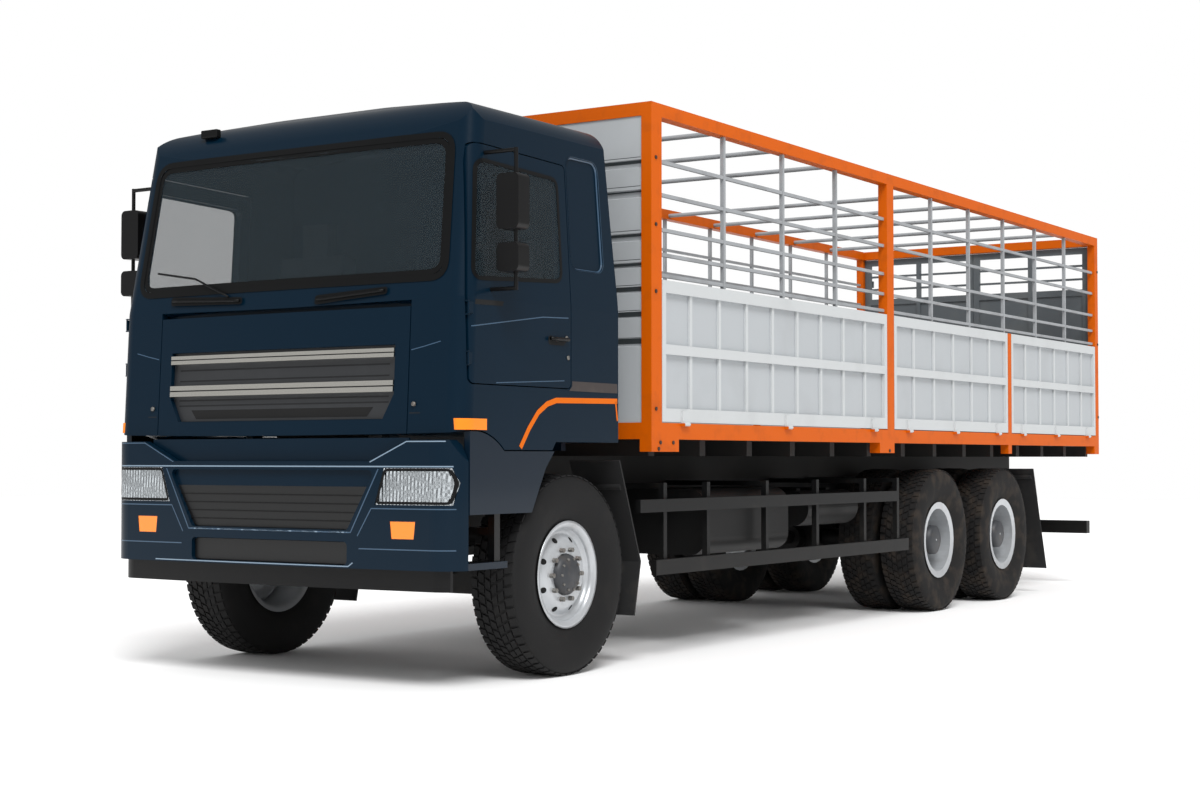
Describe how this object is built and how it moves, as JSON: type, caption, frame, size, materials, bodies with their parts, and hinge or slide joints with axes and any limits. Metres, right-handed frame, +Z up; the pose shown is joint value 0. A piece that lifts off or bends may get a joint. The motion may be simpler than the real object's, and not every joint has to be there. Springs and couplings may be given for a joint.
{
  "type": "truck",
  "caption": "Three-axle cab-over truck with a tilting cab, drop sides, a stake cage and rear doors on a long open load body.",
  "frame": {"origin": "on the ground under the middle of the truck's box", "axes": "the truck faces -Y, +X is its left side, +Z is up"},
  "size_m": [2.9, 10.3, 3.33],
  "materials": {
    "navy_paint": "gloss, dusty",
    "orange_paint": "gloss, chipped to rust in places",
    "panel_paint": "satin, dusty",
    "cage_grey": "satin, worn",
    "door_grey": "satin, dusty",
    "chassis_black": "satin, road dirt",
    "engine_cast": "rough",
    "deck_wood": "worn boards on steel bearers",
    "tyre_rubber": "matte, dusty",
    "rim_silver": "satin silver, brake dust",
    "black_plastic": "matte",
    "flap_rubber": "matte, muddy",
    "bright_trim": "polished",
    "clear_lamp": "clear, faceted reflector behind",
    "amber_lamp": "amber",
    "red_lamp": "red",
    "window_glass": "tinted, clear",
    "seat_cloth": "woven",
    "dash_plastic": "grained"
  },
  "bodies": {
    "chassis": {"chassis_frame": "chassis_black", "cross_members": "chassis_black", "engine_block": "engine_cast", "transmission": "chassis_black", "front_axle": "chassis_black", "rear_axles": "chassis_black", "leaf_springs": "chassis_black", "chassis_tanks": "chassis_black", "side_guards": "chassis_black", "mud_flaps": "flap_rubber", "underrun_bar": "chassis_black", "load_deck": "deck_wood", "body_frame": "orange_paint", "stake_cage": "cage_grey", "headboard": "panel_paint", "tail_lamps": "red_lamp", "bumper": "navy_paint", "headlamps": "clear_lamp", "front_turn_lamps": "amber_lamp", "lower_grille": "black_plastic", "cab_steps": "navy_paint"},
    "cab": {"cab_shell": "navy_paint", "cab_roof": "navy_paint", "windscreen": "window_glass", "corner_panels": "navy_paint", "fenders": "navy_paint", "wipers": "black_plastic", "side_turn_lamps": "amber_lamp", "seats": "seat_cloth", "dashboard": "dash_plastic"},
    "front_lid": {"front_lid": "navy_paint", "grille_bars": "bright_trim"},
    "door_left": {"door_left": "navy_paint", "door_glass_left": "window_glass", "mirror_left": "black_plastic"},
    "door_right": {"door_right": "navy_paint", "door_glass_right": "window_glass", "mirror_right": "black_plastic"},
    "knuckle_left": {"knuckle_left": "chassis_black"},
    "knuckle_right": {"knuckle_right": "chassis_black"},
    "wheel_front_left": {"rim_front_left": "rim_silver", "tyre_front_left": "tyre_rubber"},
    "wheel_front_right": {"rim_front_right": "rim_silver", "tyre_front_right": "tyre_rubber"},
    "wheels_mid_left": {"rims_mid_left": "rim_silver", "tyres_mid_left": "tyre_rubber"},
    "wheels_mid_right": {"rims_mid_right": "rim_silver", "tyres_mid_right": "tyre_rubber"},
    "wheels_rear_left": {"rims_rear_left": "rim_silver", "tyres_rear_left": "tyre_rubber"},
    "wheels_rear_right": {"rims_rear_right": "rim_silver", "tyres_rear_right": "tyre_rubber"},
    "drop_side_left_1": {"drop_side_left_1": "panel_paint"},
    "drop_side_left_2": {"drop_side_left_2": "panel_paint"},
    "drop_side_left_3": {"drop_side_left_3": "panel_paint"},
    "drop_side_right_1": {"drop_side_right_1": "panel_paint"},
    "drop_side_right_2": {"drop_side_right_2": "panel_paint"},
    "drop_side_right_3": {"drop_side_right_3": "panel_paint"},
    "rear_door_left": {"rear_door_left": "door_grey"},
    "rear_door_right": {"rear_door_right": "door_grey"}
  },
  "joints": [
    {"name": "cab_tilt", "type": "hinge", "parent": "chassis", "child": "cab", "pos_m": [0, -4.95, 0.95], "axis": [1, 0, 0], "range_deg": [0, 45]},
    {"name": "front_lid_hinge", "type": "hinge", "parent": "cab", "child": "front_lid", "pos_m": [0, -5.028, 1.99], "axis": [-1, 0, 0], "range_deg": [0, 70]},
    {"name": "door_left_hinge", "type": "hinge", "parent": "cab", "child": "door_left", "pos_m": [1.24, -4.993, 1.85], "axis": [0, 0, -1], "range_deg": [0, 70]},
    {"name": "door_right_hinge", "type": "hinge", "parent": "cab", "child": "door_right", "pos_m": [-1.24, -4.993, 1.85], "axis": [0, 0, 1], "range_deg": [0, 70]},
    {"name": "steer_left", "type": "hinge", "parent": "chassis", "child": "knuckle_left", "pos_m": [0.86, -4, 0.56], "axis": [0, 0, 1], "range_deg": [-30, 30]},
    {"name": "steer_right", "type": "hinge", "parent": "chassis", "child": "knuckle_right", "pos_m": [-0.86, -4, 0.56], "axis": [0, 0, 1], "range_deg": [-30, 30]},
    {"name": "wheel_front_left_spin", "type": "hinge", "parent": "knuckle_left", "child": "wheel_front_left", "pos_m": [1.065, -4, 0.56], "axis": [1, 0, 0], "continuous": true},
    {"name": "wheel_front_right_spin", "type": "hinge", "parent": "knuckle_right", "child": "wheel_front_right", "pos_m": [-1.065, -4, 0.56], "axis": [1, 0, 0], "continuous": true},
    {"name": "wheels_mid_left_spin", "type": "hinge", "parent": "chassis", "child": "wheels_mid_left", "pos_m": [0.89, 1.3, 0.56], "axis": [1, 0, 0], "continuous": true},
    {"name": "wheels_mid_right_spin", "type": "hinge", "parent": "chassis", "child": "wheels_mid_right", "pos_m": [-0.89, 1.3, 0.56], "axis": [1, 0, 0], "continuous": true},
    {"name": "wheels_rear_left_spin", "type": "hinge", "parent": "chassis", "child": "wheels_rear_left", "pos_m": [0.89, 2.7, 0.56], "axis": [1, 0, 0], "continuous": true},
    {"name": "wheels_rear_right_spin", "type": "hinge", "parent": "chassis", "child": "wheels_rear_right", "pos_m": [-0.89, 2.7, 0.56], "axis": [1, 0, 0], "continuous": true},
    {"name": "drop_side_left_1_hinge", "type": "hinge", "parent": "chassis", "child": "drop_side_left_1", "pos_m": [1.268, -1.445, 1.412], "axis": [0, 1, 0], "range_deg": [0, 175]},
    {"name": "drop_side_left_2_hinge", "type": "hinge", "parent": "chassis", "child": "drop_side_left_2", "pos_m": [1.268, 1.5, 1.412], "axis": [0, 1, 0], "range_deg": [0, 175]},
    {"name": "drop_side_left_3_hinge", "type": "hinge", "parent": "chassis", "child": "drop_side_left_3", "pos_m": [1.268, 3.9, 1.412], "axis": [0, 1, 0], "range_deg": [0, 175]},
    {"name": "drop_side_right_1_hinge", "type": "hinge", "parent": "chassis", "child": "drop_side_right_1", "pos_m": [-1.268, -1.445, 1.412], "axis": [0, -1, 0], "range_deg": [0, 175]},
    {"name": "drop_side_right_2_hinge", "type": "hinge", "parent": "chassis", "child": "drop_side_right_2", "pos_m": [-1.268, 1.5, 1.412], "axis": [0, -1, 0], "range_deg": [0, 175]},
    {"name": "drop_side_right_3_hinge", "type": "hinge", "parent": "chassis", "child": "drop_side_right_3", "pos_m": [-1.268, 3.9, 1.412], "axis": [0, -1, 0], "range_deg": [0, 175]},
    {"name": "rear_door_left_hinge", "type": "hinge", "parent": "chassis", "child": "rear_door_left", "pos_m": [1.186, 5.138, 2.3], "axis": [0, 0, -1], "range_deg": [0, 170]},
    {"name": "rear_door_right_hinge", "type": "hinge", "parent": "chassis", "child": "rear_door_right", "pos_m": [-1.186, 5.138, 2.3], "axis": [0, 0, 1], "range_deg": [0, 170]}
  ],
  "couplings": [
    {"joint": "steer_right", "follows": "steer_left", "ratio": 1}
  ]
}
